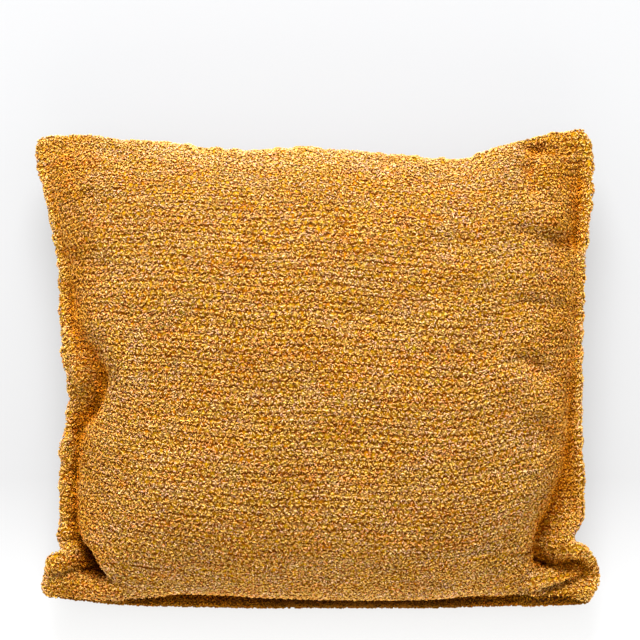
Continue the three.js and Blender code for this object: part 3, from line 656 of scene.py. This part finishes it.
def curls_at(face, a, b, rng, columns, rows, tau):
    """Curls or nubs standing on the weave at cloth coordinates a and b: their vertices."""
    n = len(a)
    p, nrm, ta = Face.sample(face.point, a, b), Face.sample(face.normal, a, b), Face.sample(face.along_a, a, b)
    nrm /= np.linalg.norm(nrm, axis=1, keepdims=True)
    tb = np.cross(nrm, ta)
    tb /= np.linalg.norm(tb, axis=1, keepdims=True)
    ta = np.cross(tb, nrm)
    level = rng.random(n) < 0.4
    ang = np.where(level, rng.normal(0, 0.5, n), rng.uniform(-math.pi / 2, math.pi / 2, n))
    tilt = nrm + ta * rng.normal(0, 0.25, n)[:, None] + tb * rng.normal(0, 0.25, n)[:, None]
    tilt /= np.linalg.norm(tilt, axis=1, keepdims=True)
    t_dir = ta * np.cos(ang)[:, None] + tb * np.sin(ang)[:, None]
    t_dir -= tilt * (t_dir * tilt).sum(1, keepdims=True)
    t_dir /= np.linalg.norm(t_dir, axis=1, keepdims=True)
    b_dir = np.cross(tilt, t_dir)
    short = len(tau) == 3
    length = rng.uniform(2.2, 3.2, n) if short else np.where(level, rng.uniform(3.2, 4.8, n), rng.uniform(2.8, 4.2, n))
    turn = rng.uniform(0.5, 2.0 if short else 3.6, n) * rng.choice([-1, 1, 1], n)
    radius = length / np.abs(turn)
    theta = tau * np.abs(turn)[:, None] / 2
    x = radius[:, None] * np.sin(theta)
    y = np.sign(turn)[:, None] * radius[:, None] * (np.cos(theta) - np.cos(theta).mean(1, keepdims=True))
    relief = weave_relief(a, b, columns, rows)
    lift = LOOP_HEIGHT * relief - LOOP_SINK + rng.uniform(0.1, 0.9, n)
    z = lift[:, None] + rng.uniform(0.6, 1.3, n)[:, None] * (1 - tau**2) - 0.3
    line = p[:, None] + t_dir[:, None] * x[..., None] + b_dir[:, None] * y[..., None] + tilt[:, None] * z[..., None]
    girth = np.repeat(rng.uniform(0.66, 0.9, n)[:, None], len(tau) - 2, 1)
    return tubes(line, tilt, girth), relief


def lay_curls(face, columns, rows, across, up, seed, tau=CURL_TAU, floor_z=None):
    """Curls or nubs in stations on every bump of the weave, and more of them where folds stretch the surface."""
    rng = np.random.default_rng(seed)
    j, i, jj, ii = (g.ravel() for g in np.meshgrid(np.arange(rows), np.arange(columns + 1), np.arange(up),
                                                   np.arange(across), indexing="ij"))
    n = len(i)
    a = (i - 0.5 * (j % 2) + (ii + 0.5) / across + rng.uniform(-0.5, 0.5, n) / across) / columns
    b = (j + (jj + 0.5) / up + rng.uniform(-0.36, 0.36, n) / up) / rows
    extra = int(rows * columns * across * up * 3)
    a2, b2 = rng.random(extra), rng.random(extra)
    stretch = Face.sample(face.stretch, a2, b2)
    wanted = rng.random(extra) < np.clip((stretch - 1.12) / 3, 0, 1)
    a, b = np.concatenate([a, a2[wanted]]), np.concatenate([b, b2[wanted]])
    a = a + soft_noise(seed + 7, a * face.cloth_a, b * face.cloth_b, 30) * 0.5 / columns
    b = b + soft_noise(seed + 8, a * face.cloth_a, b * face.cloth_b, 40, 30) * 0.3 / rows
    ok = (a > 0.001) & (a < 0.999) & (b > 0.002) & (b < 0.998)
    a, b = a[ok], b[ok]
    in_shade = Face.sample(face.under_lip, a, b) > 0.5
    ok = ~in_shade | (rng.random(len(a)) < along(LIP_LOOPS, 1, Face.sample(face.point, a, b)[:, 0]))
    ok &= Face.sample(face.point, a, b)[:, 2] > (floor_z or -1)
    ok &= rng.random(len(a)) < Face.sample(face.stretch, a, b) + 0.25
    a, b = a[ok], b[ok]
    verts, relief = curls_at(face, a, b, rng, columns, rows, tau)
    # painted shade: curls lower in the weave's relief get a darker, browner colour
    colours = two_ply(rng, a * face.cloth_a, b * face.cloth_b) * mix(np.array(LOW_DOWN_SHADE), 1.0, relief[:, None])[:, None]
    # painted shade on the loops under the lip: darker and redder the deeper in they lie
    lip_shade = mix(0.62, 0.30, Face.sample(face.under_depth, a, b))[:, None] * np.array((1.0, 0.70, 0.10))
    lip_shade *= along(LIP_LOOPS, 1, Face.sample(face.point, a, b)[:, 0])[:, None]    # painted shade, darker where fewer show
    return verts, colours, painted_light_and_shade(face, a, b) * np.where(in_shade[ok][:, None], lip_shade, 1.0)


def make_tubes(name, verts, colours, tint):
    """One mesh of tubes, with painted highlight, paler, along the top, and painted shade, darker and browner, on their
    sides and ends, which lie between their neighbours.
    """
    n, count = verts.shape[:2]
    rings = (count - 2) // SIDES
    quads, tris = tube_faces(n, rings)
    ring = np.array([CREST_HIGHLIGHT] + [FLANK_SHADE] * (SIDES - 1))
    shade = np.concatenate([[END_SHADE], np.tile(ring, (rings, 1)), [END_SHADE]])
    ply = np.concatenate([[0], np.repeat(np.linspace(0, 1, rings), SIDES), [1]])[None, :, None]
    flat = verts.reshape(-1, 3).copy()
    flat[:, 2] = np.maximum(flat[:, 2], 0.15)
    # painted highlight: the top vertices are drawn towards a pale colour
    painted_highlight = (shade == np.array(CREST_HIGHLIGHT)).all(1)[None, :, None] * CREST_HIGHLIGHT_SHARE
    colours = mix(mix(colours[:, :1], colours[:, 1:], ply) * shade, colours.max(2)[:, :1, None] * linear(PALE_HIGHLIGHT), painted_highlight)
    return new_mesh(name, flat, (colours * tint[:, None]).reshape(-1, 3), quads, tris, tube_uv(n, rings))


def seam_strands(left, seed):
    """Longer loops lying across a side's raised strip and round its edge, below the face's plain upper part."""
    rng = np.random.default_rng(seed)
    per_row = 1
    n = ROWS * per_row
    in_row = np.tile((np.arange(per_row) + 0.5) / per_row - 0.5, ROWS) * 0.8 + rng.uniform(-0.14, 0.14, n)
    b = np.clip((np.arange(n) // per_row + 0.5 + in_row) / ROWS, 0.02, 0.6)
    length = rng.uniform(3, 6, n)
    far = length[:, None] * np.array([1.0, 0.62, 0.32, 0.05])
    slant = rng.normal(0, 0.7, n)
    pts = []
    for k in range(far.shape[1]):
        d = far[:, k] / FRONT.cloth_a
        bb = np.clip(b + slant * far[:, k] / FRONT.cloth_b, 0.001, 0.999)
        p = Face.sample(FRONT.point, d if left else 1 - d, bb)
        nrm = Face.sample(FRONT.normal, d if left else 1 - d, bb)
        pts.append(p + nrm * (1.0 + rng.uniform(0.0, 1.0, n) + (0, 0.9, 0.8, 0.2)[k])[:, None])
    out = Vector((-1, 0, 0)) if left else Vector((1, 0, 0))
    edge = mix(Face.sample(FRONT.point, np.full(n, 0.0 if left else 1.0), b),
               Face.sample(BACK.point, np.full(n, 0.0 if left else 1.0), b), 0.5)
    reach = rng.uniform(0.8, 2.2, n)
    pts.append(edge + np.array(out) * reach[:, None])
    back = Face.sample(BACK.point, np.full(n, 0.012 if left else 0.988), b)
    back[:, 2] -= 0.8
    pts.append(back)
    line = np.stack(pts, 1)
    up = np.zeros_like(line)
    up[..., 2] = 1
    up[:, 4] = np.array(out)
    up[:, 5, 2] = -1
    up += rng.normal(0, 0.15, up.shape)
    girth = rng.uniform(0.65, 0.85, n)[:, None] * np.array([0.9, 1.0, 1.0, 0.9])
    c = two_ply(rng, np.full(n, 5.0 if left else 590.0), b * FRONT.cloth_b)
    c = mix(c, linear((0.90, 0.58, 0.17)), 0.25)
    return tubes(line, up, girth), c, np.ones((n, 3))


def edge_curls(seed, side):
    """Curls round an edge: the top or bottom, where the cloth is folded over with no seam, or the left or right."""
    rng = np.random.default_rng(seed)
    lengthwise = side in ("left", "right")
    line = np.linspace(0.003, 0.997, 900)
    end = np.full(900, {"left": 0.0, "right": 1.0, "top": 1.0, "bottom": 0.0}[side])
    edge = Face.sample(FRONT.point, *((end, line) if lengthwise else (line, end)))
    far = np.concatenate([[0], np.cumsum(np.linalg.norm(np.diff(edge, axis=0), axis=1))])
    n = round(far[-1] * 2.7)
    run = np.interp(rng.uniform(0, far[-1], n), far, line)
    a, b = (np.full(n, end[0]), run) if lengthwise else (run, np.full(n, end[0]))
    share = rng.uniform(0.4 if side == "bottom" else 0, 1, n)
    p = mix(Face.sample(FRONT.point, a, b), Face.sample(BACK.point, a, b), share[:, None])
    step = (0, 0.004) if lengthwise else (0.004, 0)
    t = Face.sample(FRONT.point, a + step[0], b + step[1]) - Face.sample(FRONT.point, a - step[0], b - step[1])
    t *= -1 if side in ("right", "bottom") else 1
    t /= np.linalg.norm(t, axis=1, keepdims=True)
    out = np.cross(np.array([0, 0, 1.0]), t)
    up = out + np.array([0, 0, 1.0]) * (1 - 2 * share)[:, None]
    up /= np.linalg.norm(up, axis=1, keepdims=True)
    down = np.cross(up, t)
    ang = rng.uniform(-1.2, 1.2, n)
    t_dir = t * np.cos(ang)[:, None] + down * np.sin(ang)[:, None]
    b_dir = np.cross(up, t_dir)
    turn = rng.uniform(0.9, 3.4, n)
    radius = rng.uniform(3.2, 5.2, n) / turn
    theta = CURL_TAU * turn[:, None] / 2
    x = radius[:, None] * np.sin(theta)
    y = rng.choice([-1, 1], n)[:, None] * radius[:, None] * (np.cos(theta) - np.cos(theta).mean(1, keepdims=True))
    z = rng.uniform(-0.2, 1.2, n)[:, None] - (0.9 if side == "bottom" else 0) + 1.0 * (1 - CURL_TAU**2)
    if lengthwise:                      # tufts of them stand out along the side seams
        z += 1.2 * np.clip(soft_noise(seed + 9, a * FRONT.cloth_a, b * FRONT.cloth_b, 9), -0.3, 1)[:, None]
    line = p[:, None] + t_dir[:, None] * x[..., None] + b_dir[:, None] * y[..., None] + up[:, None] * z[..., None]
    colours = two_ply(rng, a * FRONT.cloth_a, b * FRONT.cloth_b)
    tint = np.full((n, 3), 0.88)
    if side == "bottom":                # it lies in the shade of the face above it
        tint = mix(np.array((0.14, 0.09, 0.01)), np.array((0.44, 0.32, 0.06)), share[:, None])
    return tubes(line, up, rng.uniform(0.65, 0.88, n)[:, None] * np.ones(2)), colours, tint


PER_PIECE = 190000                      # triangles
ground = build_ground()
laid = {
    "loops_front": lay_curls(FRONT, COLUMNS, ROWS, 3, 2, 101),
    "nubs_front": lay_curls(FRONT, COLUMNS, ROWS, 3, 2, 151, NUB_TAU),
    "loops_back": lay_curls(BACK, BACK_COLUMNS, BACK_ROWS, 2, 2, 202, floor_z=3.0),
    "nubs_back": lay_curls(BACK, BACK_COLUMNS, BACK_ROWS, 2, 2, 252, NUB_TAU, floor_z=3.0),
}
for k, side in enumerate(("top", "left", "right", "bottom")):
    laid["loops_" + side] = edge_curls(303 + k, side)
for k, side in enumerate(("left", "right")):
    laid["seam_loops_" + side] = seam_strands(side == "left", 404 + k)

yarn = []
for name, (verts, colours, tint) in laid.items():
    order = np.argsort(-verts[:, 0, 1], kind="stable")
    tris = (verts.shape[1] - 2) * 2     # to each tube
    pieces = math.ceil(len(order) * tris / PER_PIECE)
    for part, chunk in enumerate(np.array_split(order, pieces)):
        yarn.append(make_tubes(name + (f"_{part + 1}" if pieces > 1 else ""), verts[chunk],
                               colours[chunk], tint[chunk]))
print("tubes", {name: len(v[0]) for name, v in laid.items()})

# --------------------------------------------------------------------------- the finish


def node(tree, kind, **values):
    n = tree.nodes.new(kind)
    for key, value in values.items():
        if hasattr(n, key):
            setattr(n, key, value)
        else:
            n.inputs[key].default_value = value
    return n


def yarn_material():
    m = bpy.data.materials.new("loop_yarn")
    m.use_nodes = True
    t = m.node_tree
    shader = t.nodes["Principled BSDF"]
    shader.inputs["Roughness"].default_value = 0.85
    shader.inputs["Sheen Weight"].default_value = 0.0
    shader.inputs["Sheen Roughness"].default_value = 0.5
    shader.inputs["Specular IOR Level"].default_value = 0.03
    # these vertex colours hold painted light and shade as well as the yarn's colours
    col = node(t, "ShaderNodeVertexColor", layer_name="yarn")
    coords = node(t, "ShaderNodeTexCoord")
    fibre = node(t, "ShaderNodeTexNoise", Scale=900.0, Detail=3.0, Roughness=0.6)
    t.links.new(coords.outputs["Object"], fibre.inputs["Vector"])
    spread = t.nodes.new("ShaderNodeMapRange")
    for key, value in (("From Min", 0.3), ("From Max", 0.7), ("To Min", 0.28), ("To Max", 1.72)):
        spread.inputs[key].default_value = value
    t.links.new(fibre.outputs["Fac"], spread.inputs["Value"])
    mul = node(t, "ShaderNodeVectorMath", operation="SCALE")
    t.links.new(col.outputs["Color"], mul.inputs[0])
    t.links.new(spread.outputs["Result"], mul.inputs["Scale"])
    t.links.new(mul.outputs[0], shader.inputs["Base Color"])
    bump = node(t, "ShaderNodeBump", Strength=0.6, Distance=0.0005)
    t.links.new(fibre.outputs["Fac"], bump.inputs["Height"])
    t.links.new(bump.outputs[0], shader.inputs["Normal"])
    return m


loop_yarn = yarn_material()
for ob in [ground] + yarn:
    ob.data.materials.append(loop_yarn)
    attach(ob, "root")
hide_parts("cushion_cover")

# ------------------------------------------------------------------- floor, light and camera

bpy.ops.mesh.primitive_plane_add(size=14)
floor = bpy.context.object
floor.name = "floor"
fm = bpy.data.materials.new("glowing_floor")
fm.use_nodes = True
shader = fm.node_tree.nodes["Principled BSDF"]
shader.inputs["Base Color"].default_value = (0.14, 0.14, 0.141, 1)
shader.inputs["Roughness"].default_value = 0.9
shader.inputs["Emission Color"].default_value = (1, 1, 1, 1)
# painted light: the floor glows, more strongly past the cushion's lower edge than elsewhere, which lifts the shadow
# cast there
place = node(fm.node_tree, "ShaderNodeTexCoord")
split = node(fm.node_tree, "ShaderNodeSeparateXYZ")
glow = node(fm.node_tree, "ShaderNodeMapRange")
for key, value in (("From Min", -0.27), ("From Max", -0.10), ("To Min", 0.79), ("To Max", 0.51)):
    glow.inputs[key].default_value = value
fm.node_tree.links.new(place.outputs["Object"], split.inputs[0])
fm.node_tree.links.new(split.outputs["Y"], glow.inputs["Value"])
fm.node_tree.links.new(glow.outputs["Result"], shader.inputs["Emission Strength"])
floor.data.materials.append(fm)

scene = bpy.context.scene
world = bpy.data.worlds.new("studio")
world.use_nodes = True
world.node_tree.nodes["Background"].inputs["Color"].default_value = (1, 1, 1, 1)
world.node_tree.nodes["Background"].inputs["Strength"].default_value = 0.68
scene.world = world
scene.view_settings.view_transform = "Standard"


def softbox(name, place, size, power, colour=(1, 1, 1), target=(0, 0, 0.05)):
    light = bpy.data.lights.new(name, "AREA")
    light.size, light.energy, light.color = size, power, colour
    ob = bpy.data.objects.new(name, light)
    ob.location = place
    ob.rotation_euler = (Vector(target) - Vector(place)).to_track_quat("-Z", "Y").to_euler()
    scene.collection.objects.link(ob)


softbox("upper", (-0.12, 1.75, 1.3), 1.0, 109, (0.99, 1.01, 1.05))
softbox("face", (0.0, 0.2, 2.7), 1.4, 15)
softbox("lower", (0.1, -1.9, 0.9), 1.6, 37, (1.01, 0.985, 0.88))
softbox("left", (-1.8, 0.1, 0.9), 1.2, 10)
softbox("right", (1.8, 0.1, 0.9), 1.2, 10)

PIXEL = 0.0009                      # metres a pixel of a 640 picture at the seam's height
CAMERA_HEIGHT = 2.0
camera_data = bpy.data.cameras.new("camera")
camera_data.sensor_width = 36
camera_data.lens = 18 / (PIXEL * 320 / (CAMERA_HEIGHT - 0.055))
camera = bpy.data.objects.new("camera", camera_data)
camera.location = (0.0018, 0.04585, CAMERA_HEIGHT)
scene.collection.objects.link(camera)
scene.camera = camera
